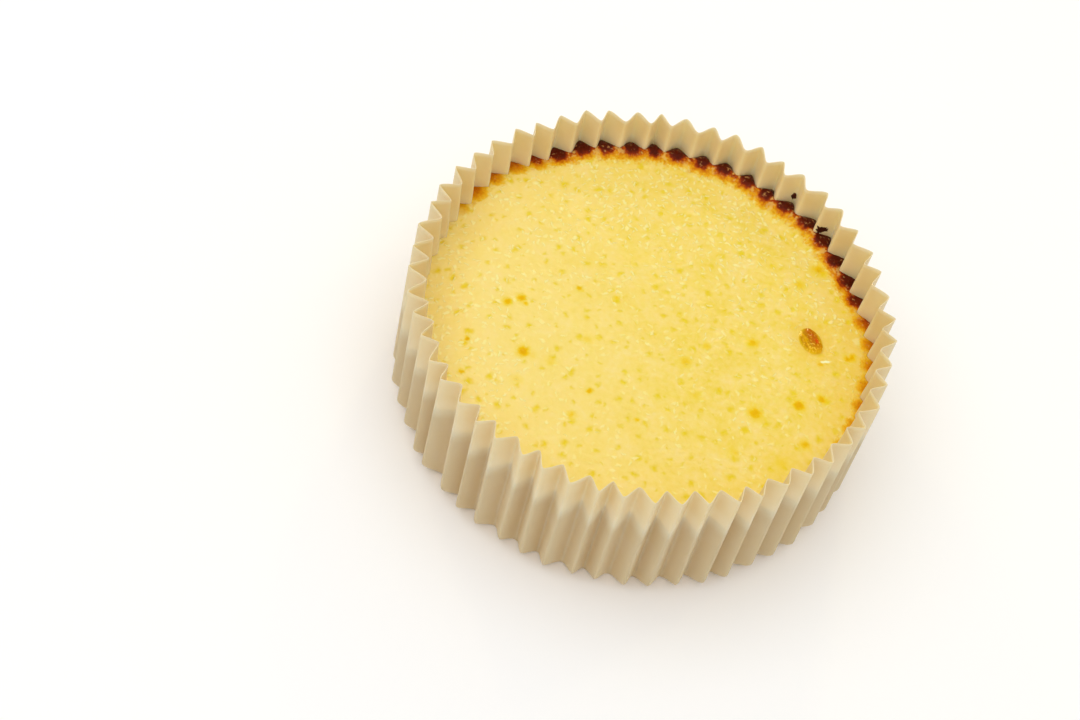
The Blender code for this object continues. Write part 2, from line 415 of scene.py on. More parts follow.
def finish_tree(tree, given, result, geometry):
    """Ends a tree with smooth faces, instances realised and the material set."""
    geometry = add(tree, "GeometryNodeSetShadeSmooth", {"Geometry": geometry})
    geometry = add(tree, "GeometryNodeRealizeInstances", {"Geometry": geometry})
    paint = {"Geometry": geometry, "Material": given.outputs["Material"]}
    give(tree, result, {"Geometry": add(tree, "GeometryNodeSetMaterial", paint)})


def made_by(tree, thing, sizes, paint):
    """Puts the tree on an object, with its sizes and material."""
    modifier = thing.modifiers.new(tree.name, "NODES")
    modifier.node_group = tree
    for item in tree.interface.items_tree:
        if item.item_type == "SOCKET" and item.in_out == "INPUT" and item.name in sizes:
            modifier[item.identifier] = sizes[item.name]
        if item.item_type == "SOCKET" and item.in_out == "INPUT" and item.name == "Material":
            modifier[item.identifier] = paint


def made_plain(thing):
    """Turns what the modifiers make into the object's own mesh."""
    graph = bpy.context.evaluated_depsgraph_get()
    mesh = bpy.data.meshes.new_from_object(thing.evaluated_get(graph), depsgraph=graph)
    mesh.name = thing.name
    thing.modifiers.clear()
    thing.data = mesh


def new_object(name, mesh=None):
    thing = bpy.data.objects.new(name, mesh or bpy.data.meshes.new(name))
    bpy.context.scene.collection.objects.link(thing)
    return thing


def uneven_tree():
    """A value between -1 and 1 for one flute, which doesn't repeat round the case."""
    tree, given, result = new_tree("uneven", {"Flute": 0.0, "Pace": 1.0, "Start": 0.0}, ["Value"])
    flute, pace, start = given.outputs["Flute"], given.outputs["Pace"], given.outputs["Start"]
    slow_phase = add(tree, MATH, (flute, pace, start), operation="MULTIPLY_ADD")
    slow = add(tree, MATH, (slow_phase,), operation="SINE")
    back = add(tree, MATH, (start, FAST_START), operation="MULTIPLY")
    fast_phase = add(tree, MATH, (slow_phase, FAST_PACE, back), operation="MULTIPLY_ADD")
    fast = add(tree, MATH, (fast_phase,), operation="SINE")
    slow_part = add(tree, MATH, (slow, SLOW_SHARE), operation="MULTIPLY")
    value = add(tree, MATH, (fast, 1.0 - SLOW_SHARE, slow_part), operation="MULTIPLY_ADD")
    give(tree, result, {"Value": value})
    return tree


def difference(tree, uneven, flute, kind):
    """How far one flute differs from the others in this way, from -1 to 1."""
    pace, start = DIFFERENCES[kind]
    return add(tree, GROUP, {"Flute": flute, "Pace": pace, "Start": start}, node_tree=uneven)


def fold_tree(uneven):
    """Where one outer fold stands: its azimuth at a height, and how far out it reaches."""
    sizes = {"Flute": 0.0, "Height": 0.0, **PLEAT_SIZES}
    tree, given, result = new_tree("outer fold", sizes, ["Azimuth", "Radius"])
    size = given.outputs
    lap = add(tree, MATH, (size["Flute"], size["Flutes"]), operation="DIVIDE")
    even = add(tree, MATH, (lap, math.tau, size["First fold"]), operation="MULTIPLY_ADD")
    flute = add(tree, MATH, (size["Flute"], size["Flutes"]), operation="FLOORED_MODULO")
    from_crowd = add(tree, MATH, (even, size["Crowded from"]), operation="SUBTRACT")
    crowd = add(tree, MATH, (from_crowd,), operation="SINE")
    crowded = add(tree, MATH, (crowd, size["Crowding"], even), operation="MULTIPLY_ADD")
    shift = difference(tree, uneven, flute, "shift")
    shifted = add(tree, MATH, (shift, size["Fold shift"], crowded), operation="MULTIPLY_ADD")
    climbed = add(tree, MATH, (size["Height"], size["Case height"]), operation="DIVIDE")
    below = add(tree, MATH, (1.0, climbed), operation="SUBTRACT")
    lean = difference(tree, uneven, flute, "lean")
    leaning = add(tree, MATH, (lean, size["Fold lean"]), operation="MULTIPLY")
    azimuth = add(tree, MATH, (leaning, below, shifted), operation="MULTIPLY_ADD")
    doubled = add(tree, MATH, (azimuth, 2.0), operation="MULTIPLY")
    squash = add(tree, MATH, (doubled,), operation="COSINE")
    oval = add(tree, MATH, (squash, size["Oval"], size["Case radius"]), operation="MULTIPLY_ADD")
    reach = difference(tree, uneven, flute, "reach")
    radius = add(tree, MATH, (reach, size["Fold reach"], oval), operation="MULTIPLY_ADD")
    give(tree, result, {"Azimuth": azimuth, "Radius": radius})
    return tree


def within(tree, azimuth, rise, fall):
    """1 on an arc round the case and 0 outside it, with soft ends."""
    begun = add(tree, RANGE, (azimuth, *rise, 0.0, 1.0), interpolation_type="SMOOTHSTEP")
    left = add(tree, RANGE, (azimuth, *fall, 0.0, 1.0), interpolation_type="SMOOTHSTEP")
    return add(tree, MATH, (begun, left), operation="MULTIPLY")


def browned(tree, azimuth):
    """How strongly the edge is browned at this azimuth, from 0 to 1."""
    brown = within(tree, azimuth, BROWN_RISE, BROWN_FALL)
    dark = within(tree, azimuth, BURNT_RISE, BURNT_FALL)
    burnt = add(tree, MATH, (dark, 1.0 - UNBURNT_HEAT, UNBURNT_HEAT), operation="MULTIPLY_ADD")
    return add(tree, MATH, (brown, burnt), operation="MULTIPLY")


def raised(tree, azimuth):
    """How far the back edge rises at this azimuth, from 0 to 1."""
    return within(tree, azimuth, BACK_RISE_ARC, BACK_FALL_ARC)


def lowered(tree, azimuth):
    """How far the cake's edge is lowered at this azimuth, from 0 to 1."""
    turned = add(tree, MATH, (azimuth, LEFT_MIDDLE), operation="SUBTRACT")
    towards = add(tree, MATH, (turned,), operation="COSINE")
    return add(tree, RANGE, (towards, *LEFT_ARC, 0.0, 1.0), interpolation_type="SMOOTHSTEP")


def wall_tree(uneven, fold):
    """The paper's outer face at one place along the flutes: its azimuth, radius and pocket."""
    sizes = {"Along": 0.0, "Height": 0.0, **PLEAT_SIZES}
    tree, given, result = new_tree("fluted wall", sizes, ["Azimuth", "Radius", "Inner radius", "Pocket"])
    size = given.outputs
    passed = {label: size[label] for label in ("Height", *PLEAT_SIZES)}
    flute = add(tree, MATH, (size["Along"],), operation="FLOOR")
    station = add(tree, MATH, (size["Along"], flute), operation="SUBTRACT")
    after = add(tree, MATH, (flute, 1.0), operation="ADD")
    fold_here = add(tree, GROUP, {"Flute": flute, **passed}, node_tree=fold)
    fold_after = add(tree, GROUP, {"Flute": after, **passed}, node_tree=fold)

    # Each flute is a little lopsided: its middle is moved, and its folds stay
    lap_flute = add(tree, MATH, (flute, size["Flutes"]), operation="FLOORED_MODULO")
    skew = difference(tree, uneven, lap_flute, "skew")
    rest = add(tree, MATH, (1.0, station), operation="SUBTRACT")
    inside = add(tree, MATH, (station, rest), operation="MULTIPLY")
    fourfold = add(tree, MATH, (inside, -4.0), operation="MULTIPLY")
    lopsided = add(tree, MATH, (skew, size["Fold skew"]), operation="MULTIPLY")
    share = add(tree, MATH, (fourfold, lopsided, station), operation="MULTIPLY_ADD")
    azimuth, outer = (
        add(tree, MIX, (share, fold_here.outputs[label], fold_after.outputs[label]))
        for label in ("Azimuth", "Radius")
    )

    # Each flute has its own sharpness, between a zigzag and a wave
    turn = add(tree, MATH, (station, math.tau), operation="MULTIPLY")
    cosine = add(tree, MATH, (turn,), operation="COSINE")
    wave = add(tree, MATH, (cosine, -0.5, 0.5), operation="MULTIPLY_ADD")
    creased = add(tree, MATH, (cosine, -CREASING), operation="MULTIPLY")
    angle = add(tree, MATH, (creased,), operation="ARCSINE")
    zigzag = add(tree, MATH, (angle, 0.5 / math.asin(CREASING), 0.5), operation="MULTIPLY_ADD")
    own = difference(tree, uneven, lap_flute, "sharpness")
    spread = (own, size["Roundness spread"], size["Fold roundness"])
    roundness = add(tree, MATH, spread, operation="MULTIPLY_ADD")
    at_back = (raised(tree, azimuth), size["Back roundness"], roundness)
    roundness = add(tree, MATH, at_back, operation="MULTIPLY_ADD")
    pleat = add(tree, MIX, (roundness, zigzag, wave))

    # Flutes are deeper below the cake's edge, and at the left
    low = (size["Height"], size["Edge height"], size["Case height"], size["Flute deepening"], 0.0)
    below = add(tree, RANGE, low, interpolation_type="SMOOTHSTEP")
    at_left = (lowered(tree, azimuth), size["Left deepening"], below)
    deepening = add(tree, MATH, at_left, operation="MULTIPLY_ADD")
    full_depth = add(tree, MATH, (size["Flute depth"], deepening), operation="ADD")
    depth = add(tree, MATH, (pleat, full_depth), operation="MULTIPLY")
    radius = add(tree, MATH, (outer, depth), operation="SUBTRACT")
    inner = add(tree, MATH, (outer, full_depth), operation="SUBTRACT")
    pocket = add(tree, MATH, (1.0, pleat), operation="SUBTRACT")
    values = {"Azimuth": azimuth, "Radius": radius, "Inner radius": inner, "Pocket": pocket}
    give(tree, result, values)
    return tree


def wall_face(tree, wall, along, height, size):
    """The paper's outer face at a place along the flutes and a height."""
    passed = {label: size[label] for label in PLEAT_SIZES}
    return add(tree, GROUP, {"Along": along, "Height": height, **passed}, node_tree=wall)


def full_sink(tree, size, back):
    """How deep the surface sinks at an outer fold, where the edge is raised by this much."""
    sink = (back, size["Back pocket sink"], size["Pocket sink"])
    return add(tree, MATH, sink, operation="MULTIPLY_ADD")


def on_axis(tree, azimuth, radius, height):
    """The position at an azimuth, radius and height."""
    cosine = add(tree, MATH, (azimuth,), operation="COSINE")
    sine = add(tree, MATH, (azimuth,), operation="SINE")
    flat = add(tree, "ShaderNodeCombineXYZ", (cosine, sine, 0.0))
    spoke = add(tree, VECTOR, {"Vector": flat, "Scale": radius}, operation="SCALE")
    lift = add(tree, "ShaderNodeCombineXYZ", (0.0, 0.0, height))
    return add(tree, VECTOR, (spoke, lift), operation="ADD")


def stored(tree, geometry, values):
    """Keeps each value on the points under its name, for the material."""
    for label, value in values.items():
        geometry = add(tree, STORE, {"Geometry": geometry, "Name": label, "Value": value})
    return geometry


def case_tree(wall):
    """A grid of columns round the case and rows up it, bent into base, corner and pleated wall."""
    rows = BASE_ROWS + CORNER_ROWS + WALL_ROWS
    tree, given, result = new_tree("fluted paper case", ALL_CASE_SIZES, [], geometry=True)
    size = given.outputs
    grid = add(tree, "GeometryNodeMeshGrid", {
        "Vertices X": FLUTES * POINTS_PER_FLUTE + 1,
        "Vertices Y": rows + 1,
    })
    index = tree.nodes.new("GeometryNodeInputIndex")
    row = add(tree, MATH, (index, rows + 1.0), operation="MODULO")
    column_share = add(tree, MATH, (index, rows + 1.0), operation="DIVIDE")
    column = add(tree, MATH, (column_share,), operation="FLOOR")
    along = add(tree, MATH, (column, float(POINTS_PER_FLUTE)), operation="DIVIDE")

    corner_end = float(BASE_ROWS + CORNER_ROWS)
    spread = add(tree, RANGE, (row, 0.0, float(BASE_ROWS), 0.0, 1.0))
    turn = add(tree, RANGE, (row, float(BASE_ROWS), corner_end, 0.0, math.pi / 2.0))
    climb = add(tree, RANGE, (row, corner_end, float(rows), 0.0, 1.0))
    cosine = add(tree, MATH, (turn,), operation="COSINE")
    versed = add(tree, MATH, (1.0, cosine), operation="SUBTRACT")
    corner = add(tree, MATH, (versed, size["Corner height"]), operation="MULTIPLY")
    wall_height = add(tree, MATH, (size["Case height"], size["Corner height"]), operation="SUBTRACT")
    height = add(tree, MATH, (climb, wall_height, corner), operation="MULTIPLY_ADD")
    flare = add(tree, MATH, (turn,), operation="SINE")

    face = wall_face(tree, wall, along, height, size)
    azimuth, pocket = face.outputs["Azimuth"], face.outputs["Pocket"]
    past_base = add(tree, MATH, (face.outputs["Radius"], size["Base radius"]), operation="SUBTRACT")
    base = add(tree, MATH, (spread, size["Base radius"]), operation="MULTIPLY")
    radius = add(tree, MATH, (past_base, flare, base), operation="MULTIPLY_ADD")

    # Handling leaves the free wall above the cake slightly buckled and its rim not quite level
    free = add(tree, RANGE, (height, *FREE_WALL, 0.0, 1.0), interpolation_type="SMOOTHSTEP")
    place = on_axis(tree, azimuth, radius, height)
    per_metre = add(tree, MATH, (1.0, size["Buckle width"]), operation="DIVIDE")
    bend = add(tree, NOISE, {"Vector": place, "Scale": per_metre, "Detail": 1.0})
    centred = add(tree, MATH, (bend.outputs["Fac"], 0.5), operation="SUBTRACT")
    buckle = add(tree, MATH, (centred, size["Buckle"]), operation="MULTIPLY")
    buckled = add(tree, MATH, (buckle, free, radius), operation="MULTIPLY_ADD")
    sag = add(tree, MATH, (bend.outputs["Fac"], size["Rim wave"]), operation="MULTIPLY")
    sagged = add(tree, MATH, (sag, free), operation="MULTIPLY")
    rim = add(tree, MATH, (height, sagged), operation="SUBTRACT")
    place = on_axis(tree, azimuth, buckled, rim)

    # How far each place stands above the cake's edge, in millimetres
    back = raised(tree, azimuth)
    edge = add(tree, MATH, (back, size["Back rise"], size["Edge height"]), operation="MULTIPLY_ADD")
    dip = add(tree, MATH, (lowered(tree, azimuth), size["Left dip"]), operation="MULTIPLY")
    edge = add(tree, MATH, (edge, dip), operation="SUBTRACT")
    sink = add(tree, MATH, (pocket, full_sink(tree, size, back)), operation="MULTIPLY")
    top = add(tree, MATH, (edge, sink), operation="SUBTRACT")
    clear = add(tree, MATH, (height, top), operation="SUBTRACT")

    geometry = stored(tree, grid, {
        "above_cake": add(tree, MATH, (clear, 1.0 / MM), operation="MULTIPLY"),
        "pocket": pocket,
        "browned": browned(tree, azimuth),
    })
    geometry = add(tree, "GeometryNodeSetPosition", {"Geometry": geometry, "Position": place})
    seam = {"Geometry": geometry, "Distance": SEAM_DISTANCE}
    geometry = add(tree, "GeometryNodeMergeByDistance", seam)
    finish_tree(tree, given, result, geometry)
    return tree


def flat_place(tree, place):
    """The place seen from above."""
    return add(tree, VECTOR, (place, (1.0, 1.0, 0.0)), operation="MULTIPLY")


def wandering(tree, flat, width, reach):
    """The flat place, moved about by a noise of this width, so that round shapes turn uneven."""
    pattern = {"Vector": flat, "Scale": 1.0 / width, "Detail": 1.0}
    wobble = add(tree, NOISE, pattern, noise_dimensions="2D")
    centred = add(tree, VECTOR, (wobble.outputs["Color"], (0.5, 0.5, 0.5)), operation="SUBTRACT")
    return add(tree, VECTOR, (centred, (reach, reach, 0.0), flat), operation="MULTIPLY_ADD")


def pits(tree, place, widening=1.0):
    """How deep in a pore a place is, from 0 to 1: uneven round pores, each of its own size."""
    moved = wandering(tree, flat_place(tree, place), PIT_WOBBLE_WIDTH, PIT_WOBBLE)
    cells = {"Vector": moved, "Scale": 1.0 / PIT_SPACING}
    pores = add(tree, VORONOI, cells, voronoi_dimensions="2D")
    chance = add(tree, SPLIT, (pores.outputs["Color"],))
    largest = PIT_RADIUS / PIT_SPACING * widening
    radius = add(tree, RANGE, (chance, 0.0, 1.0, SMALLEST_PIT * largest, largest))
    inner = add(tree, MATH, (radius, PIT_FLOOR), operation="MULTIPLY")
    depth = (pores.outputs["Distance"], radius, inner, 0.0, 1.0)
    shape = add(tree, RANGE, depth, interpolation_type="SMOOTHSTEP")
    strength = add(tree, RANGE, (radius, 0.0, largest, FAINTEST_PIT, 1.0))
    return add(tree, MATH, (shape, strength), operation="MULTIPLY")


def curds_and_glints(tree, flat, crowding):
    """Short torn strokes lying every way, of which the crowding, from 0 to 1, says how many show."""
    moved = wandering(tree, flat, CURD_GLINT_BEND_WIDTH, CURD_GLINT_BEND)
    cells = {"Vector": moved, "Scale": 1.0 / CURD_GLINT_SPACING}
    strokes = add(tree, VORONOI, cells, voronoi_dimensions="2D")
    chance = add(tree, SPLIT, (strokes.outputs["Color"],))
    away = add(tree, VECTOR, (moved, strokes.outputs["Position"]), operation="SUBTRACT")
    angle = add(tree, MATH, (chance.outputs["X"], math.tau), operation="MULTIPLY")
    turned = add(tree, ROTATE, {"Vector": away, "Angle": angle}, rotation_type="Z_AXIS")
    scaled = add(tree, VECTOR, (turned, CURD_GLINT_HALF), operation="DIVIDE")
    reach = add(tree, VECTOR, (scaled,), operation="LENGTH").outputs["Value"]
    smaller = add(tree, RANGE, (chance.outputs["Z"], 0.0, 1.0, 1.0, SMALLEST_CURD_GLINT))
    own_reach = add(tree, MATH, (reach, smaller), operation="MULTIPLY")
    stroke = add(tree, RANGE, (own_reach, *CURD_GLINT_EDGE, 0.0, 1.0), interpolation_type="SMOOTHSTEP")
    spare = add(tree, MATH, (crowding, chance.outputs["Y"]), operation="SUBTRACT")
    shown = add(tree, RANGE, (spare, 0.0, FULL_CROWDING, FAINTEST_CURD_GLINT, 1.0))
    return add(tree, MATH, (stroke, shown), operation="MULTIPLY")


def blister_place(tree, place):
    """The place as seen from the blister: 1 away along its length or across it is its outline."""
    uneven_place = wandering(tree, flat_place(tree, place), BLISTER_WOBBLE_WIDTH, BLISTER_WOBBLE)
    away = add(tree, VECTOR, (uneven_place, BLISTER_PLACE), operation="SUBTRACT")
    turned = add(tree, ROTATE, {"Vector": away, "Angle": -BLISTER_TURN}, rotation_type="Z_AXIS")
    return add(tree, VECTOR, (turned, BLISTER_HALF), operation="DIVIDE")


def blister_swell(tree, place):
    """The blister's rounded height, from 0 at its outline to 1, with two furrows along it."""
    local = blister_place(tree, place)
    reach = add(tree, VECTOR, (local, local), operation="DOT_PRODUCT")
    inside = add(tree, MATH, (1.0, reach.outputs["Value"]), operation="SUBTRACT", use_clamp=True)
    dome = add(tree, MATH, (inside, 0.5), operation="POWER")
    across = add(tree, SPLIT, (local,)).outputs["Y"]
    furrows = add(tree, MATH, (across, FURROW_PACE), operation="MULTIPLY")
    ripple = add(tree, MATH, (furrows,), operation="SINE")
    carved = add(tree, MATH, (ripple, FURROW_DEPTH, 1.0 - FURROW_DEPTH), operation="MULTIPLY_ADD")
    return add(tree, MATH, (dome, carved), operation="MULTIPLY")


def open_height(tree, place, azimuth, back, size):
    """The height of the open surface over a place: dome, uneven edge, roll, blister and pores."""
    reach = add(tree, VECTOR, (place,), operation="LENGTH")
    share = add(tree, MATH, (reach.outputs["Value"], size["Case radius"]), operation="DIVIDE")
    square = add(tree, MATH, (share, 2.0), operation="POWER")
    crown = add(tree, MATH, (1.0, square), operation="SUBTRACT")
    height = add(tree, MATH, (crown, size["Dome"], size["Edge height"]), operation="MULTIPLY_ADD")
    rim = (reach.outputs["Value"], BACK_FROM_RADIUS, BACK_TO_RADIUS, 0.0, size["Back rise"])
    back_rise = add(tree, RANGE, rim, interpolation_type="SMOOTHSTEP")
    height = add(tree, MATH, (back_rise, back, height), operation="MULTIPLY_ADD")
    rim = (reach.outputs["Value"], LEFT_FROM_RADIUS, BACK_TO_RADIUS, 0.0, size["Left dip"])
    left_dip = add(tree, RANGE, rim, interpolation_type="SMOOTHSTEP")
    dip = add(tree, MATH, (left_dip, lowered(tree, azimuth)), operation="MULTIPLY")
    height = add(tree, MATH, (height, dip), operation="SUBTRACT")
    for way, start in ROLLS:
        travel = add(tree, VECTOR, (place, way), operation="DOT_PRODUCT")
        phase = add(tree, MATH, (travel.outputs["Value"], start), operation="ADD")
        wave = add(tree, MATH, (phase,), operation="SINE")
        height = add(tree, MATH, (wave, size["Roll"], height), operation="MULTIPLY_ADD")

    swell = blister_swell(tree, place)
    height = add(tree, MATH, (swell, size["Blister height"], height), operation="MULTIPLY_ADD")
    away = add(tree, VECTOR, (place, BLISTER_PLACE), operation="DISTANCE")
    bowl = (away.outputs["Value"], 0.0, size["Hollow radius"], size["Hollow depth"], 0.0)
    hollow = add(tree, RANGE, bowl, interpolation_type="SMOOTHSTEP")
    height = add(tree, MATH, (height, hollow), operation="SUBTRACT")

    # Low swells a few millimetres wide, as on a skin that set while it simmered
    skin = {"Vector": place, "Scale": 1.0 / SWELL_WIDTH, "Detail": 2.0, "Roughness": 0.55}
    swells = add(tree, NOISE, skin, noise_dimensions="2D")
    level = add(tree, MATH, (swells, 0.5), operation="SUBTRACT")
    height = add(tree, MATH, (level, SWELL_HEIGHT, height), operation="MULTIPLY_ADD")
    sunk = add(tree, MATH, (pits(tree, place), size["Pit depth"]), operation="MULTIPLY")
    return add(tree, MATH, (height, sunk), operation="SUBTRACT")


def cake_tree(wall, uneven):
    """Rings of points bent into the cake's base, corner, side, browned shelf and open surface.

    Travel counts these five stretches from the middle of the base, 0, to the middle of the top, 5.
    """
    tree, given, result = new_tree("baked cake", ALL_CAKE_SIZES, [], geometry=True)
    size = given.outputs
    along = add(tree, NAMED, ("along",))
    travel = add(tree, NAMED, ("travel",))
    spread = add(tree, RANGE, (travel, 0.0, 1.0, 0.0, 1.0))
    turn = add(tree, RANGE, (travel, 1.0, 2.0, 0.0, math.pi / 2.0))
    climb = add(tree, RANGE, (travel, 2.0, 3.0, 0.0, 1.0))
    inward = add(tree, RANGE, (travel, 3.0, 4.0, 0.0, 1.0))
    to_rim = add(tree, RANGE, (travel, 4.0, 5.0, 1.0, 0.0))

    cosine = add(tree, MATH, (turn,), operation="COSINE")
    versed = add(tree, MATH, (1.0, cosine), operation="SUBTRACT")
    corner = add(tree, MATH, (versed, size["Corner height"], size["Clearance"]), operation="MULTIPLY_ADD")
    side_height = add(tree, MATH, (size["Edge height"], corner), operation="SUBTRACT")
    lean_height = add(tree, MATH, (climb, side_height, corner), operation="MULTIPLY_ADD")
    flare = add(tree, MATH, (turn,), operation="SINE")
    face = wall_face(tree, wall, along, lean_height, size)
    azimuth, pocket = face.outputs["Azimuth"], face.outputs["Pocket"]

    base_rim = add(tree, MATH, (size["Base radius"], size["Clearance"]), operation="SUBTRACT")
    past_base = add(tree, MATH, (face.outputs["Radius"], size["Base radius"]), operation="SUBTRACT")
    base = add(tree, MATH, (spread, base_rim), operation="MULTIPLY")
    outline = add(tree, MATH, (past_base, flare, base), operation="MULTIPLY_ADD")
    shelf = add(tree, MIX, (inward, outline, size["Smooth radius"]))
    radius = add(tree, MATH, (shelf, to_rim), operation="MULTIPLY")
    ground = on_axis(tree, azimuth, radius, 0.0)

    # Browning goes by how far a place lies beyond the circle of the inner folds, in millimetres
    past_folds = add(tree, MATH, (radius, face.outputs["Inner radius"]), operation="SUBTRACT")
    beyond = add(tree, MATH, (past_folds, 1.0 / MM), operation="MULTIPLY")
    heat = browned(tree, azimuth)
    cooled = add(tree, MATH, (1.0, heat), operation="SUBTRACT")
    warmed = add(tree, MATH, (cooled, PALER_COOL, BROWN_AT_FOLDS), operation="MULTIPLY_ADD")
    inside = add(tree, MATH, (beyond, 0.0), operation="MINIMUM")
    outside = add(tree, MATH, (beyond, 0.0), operation="MAXIMUM")
    inwards = add(tree, MATH, (inside, BROWNER_INSIDE, warmed), operation="MULTIPLY_ADD")
    outwards = add(tree, MATH, (outside, BROWNER_OUTSIDE, inwards), operation="MULTIPLY_ADD")
    mouth = (beyond, *POCKET_BROWNS_FROM, 0.0, BROWNER_POCKET)
    in_mouth = add(tree, RANGE, mouth, interpolation_type="SMOOTHSTEP")
    middle = add(tree, RANGE, (pocket, *POCKET_BROWNS, 0.0, 1.0), interpolation_type="SMOOTHSTEP")
    browning = add(tree, MATH, (middle, in_mouth, outwards), operation="MULTIPLY_ADD")

    # The surface sinks towards each outer fold, and a crag stands in the mouth of each browned flute
    outward = add(tree, MATH, (1.0, inward), operation="SUBTRACT")
    in_pocket = add(tree, MATH, (pocket, outward), operation="MULTIPLY")
    drop = add(tree, MATH, (outward, SINK_CURVE), operation="POWER")
    deep = add(tree, MATH, (drop, pocket), operation="MULTIPLY")
    back = raised(tree, azimuth)
    sink = add(tree, MATH, (deep, full_sink(tree, size, back)), operation="MULTIPLY")
    flute = add(tree, MATH, (along,), operation="FLOOR")
    own = difference(tree, uneven, flute, "crag")
    crag_size = add(tree, MATH, (own, size["Crag spread"], size["Crag height"]), operation="MULTIPLY_ADD")
    hump = add(tree, MATH, (in_pocket, inward), operation="MULTIPLY")
    crag_shape = add(tree, MATH, (hump, 4.0), operation="MULTIPLY")
    crag_here = add(tree, MATH, (crag_shape, crag_size), operation="MULTIPLY")
    crag = add(tree, MATH, (crag_here, heat), operation="MULTIPLY")

    # Small blistered lumps wherever the edge has browned
    lumpy = add(tree, RANGE, (browning, *LUMPS_FROM, 0.0, 1.0), interpolation_type="SMOOTHSTEP")
    crust = {"Vector": ground, "Scale": 1.0 / LUMP_WIDTH, "Detail": 2.0, "Roughness": 0.6}
    lumps = add(tree, NOISE, crust, noise_dimensions="2D")
    level = add(tree, MATH, (lumps, 0.5), operation="SUBTRACT")
    lump = add(tree, MATH, (level, size["Lump height"]), operation="MULTIPLY")

    height = open_height(tree, ground, azimuth, back, size)
    height = add(tree, MATH, (height, sink), operation="SUBTRACT")
    height = add(tree, MATH, (height, crag), operation="ADD")
    height = add(tree, MATH, (lump, lumpy, height), operation="MULTIPLY_ADD")
    rise = add(tree, MATH, (height, corner), operation="SUBTRACT")
    height = add(tree, MATH, (climb, rise, corner), operation="MULTIPLY_ADD")

    values = {"browning": browning, "pocket": pocket, "browned": heat}
    geometry = stored(tree, given.outputs["Geometry"], values)
    place = on_axis(tree, azimuth, radius, height)
    geometry = add(tree, "GeometryNodeSetPosition", {"Geometry": geometry, "Position": place})
    finish_tree(tree, given, result, geometry)
    return tree


def fleck_tree(wall):
    """One thin scab with a torn outline, which lies on the paper wherever it is put."""
    own = {"Along": 0.0, "Place height": 0.0, "Width": 0.0, "Length": 0.0, "Scorch": 0.0}
    tree, given, result = new_tree("scab on the paper", {**PLEAT_SIZES, **own}, [], geometry=True)
    size = given.outputs
    ball = add(tree, "GeometryNodeMeshIcoSphere", {"Radius": 1.0, "Subdivisions": 5})
    point = tree.nodes.new("GeometryNodeInputPosition")
    spread = add(tree, VECTOR, (point, FLECK_GRAIN), operation="MULTIPLY")
    chance = add(tree, "ShaderNodeCombineXYZ", (size["Along"], size["Scorch"], 0.0))
    moved = add(tree, VECTOR, (spread, chance), operation="ADD")
    torn = add(tree, NOISE, {"Vector": moved, "Scale": FLECK_TEARS, "Detail": 3.0})
    centred = add(tree, MATH, (torn, 0.5), operation="SUBTRACT")
    swing = add(tree, MATH, (size["Scorch"], *FLECK_SWING), operation="MULTIPLY_ADD")
    frayed = add(tree, MATH, (centred, swing, 0.5), operation="MULTIPLY_ADD")
    place = add(tree, SPLIT, (point,))
    sideways = add(tree, MATH, (place.outputs["X"], frayed), operation="MULTIPLY")
    upward = add(tree, MATH, (place.outputs["Z"], frayed), operation="MULTIPLY")
    wide = add(tree, MATH, (size["Width"], 1.0 / PAPER_PER_FLUTE), operation="MULTIPLY")
    along = add(tree, MATH, (sideways, wide, size["Along"]), operation="MULTIPLY_ADD")
    height = add(tree, MATH, (upward, size["Length"], size["Place height"]), operation="MULTIPLY_ADD")
    face = wall_face(tree, wall, along, height, size)
    lift = add(tree, RANGE, (place.outputs["Y"], -1.0, 1.0, 0.5 * PAPER_THICKNESS, FLECK_THICKNESS))
    radius = add(tree, MATH, (face.outputs["Radius"], lift), operation="SUBTRACT")
    placed = on_axis(tree, face.outputs["Azimuth"], radius, height)
    geometry = add(tree, "GeometryNodeSetPosition", {"Geometry": ball, "Position": placed})
    geometry = stored(tree, geometry, {"scorch": size["Scorch"]})
    give(tree, result, {"Geometry": geometry})
    return tree


def flecks_tree(fleck):
    """All the scabs on the paper."""
    tree, given, result = new_tree("scabs on the paper", PLEAT_SIZES, [], geometry=True)
    passed = {label: given.outputs[label] for label in PLEAT_SIZES}
    joined = tree.nodes.new("GeometryNodeJoinGeometry")
    for along, height, width, length, scorch in FLECKS:
        own = {"Along": along, "Place height": height * MM, "Width": width * MM, "Length": length * MM}
        scab = add(tree, GROUP, {**passed, **own, "Scorch": scorch}, node_tree=fleck)
        tree.links.new(scab.outputs["Geometry"], joined.inputs["Geometry"])
    finish_tree(tree, given, result, joined)
    return tree


def cake_rings():
    """The points and travel of each ring of the cake's sheet, from the base to the top."""
    full = FLUTES * POINTS_PER_FLUTE
    rings = [(full // 2 ** step, 1.0 - step / (HALVINGS + 1)) for step in range(HALVINGS, -1, -1)]
    for rows, start in ((CORNER_ROWS, 1.0), (SIDE_ROWS, 2.0), (SHELF_ROWS, 3.0)):
        rings += [(full, start + (row + 1) / rows) for row in range(rows)]
    radius = SMOOTH_RADIUS - RING_SPACING
    while radius > 2.0 * RING_SPACING:
        halvings = min(max(math.ceil(math.log2(HALVED_WITHIN / radius)), 0), HALVINGS)
        rings.append((full // 2 ** halvings, 5.0 - radius / SMOOTH_RADIUS))
        radius -= RING_SPACING
    return rings


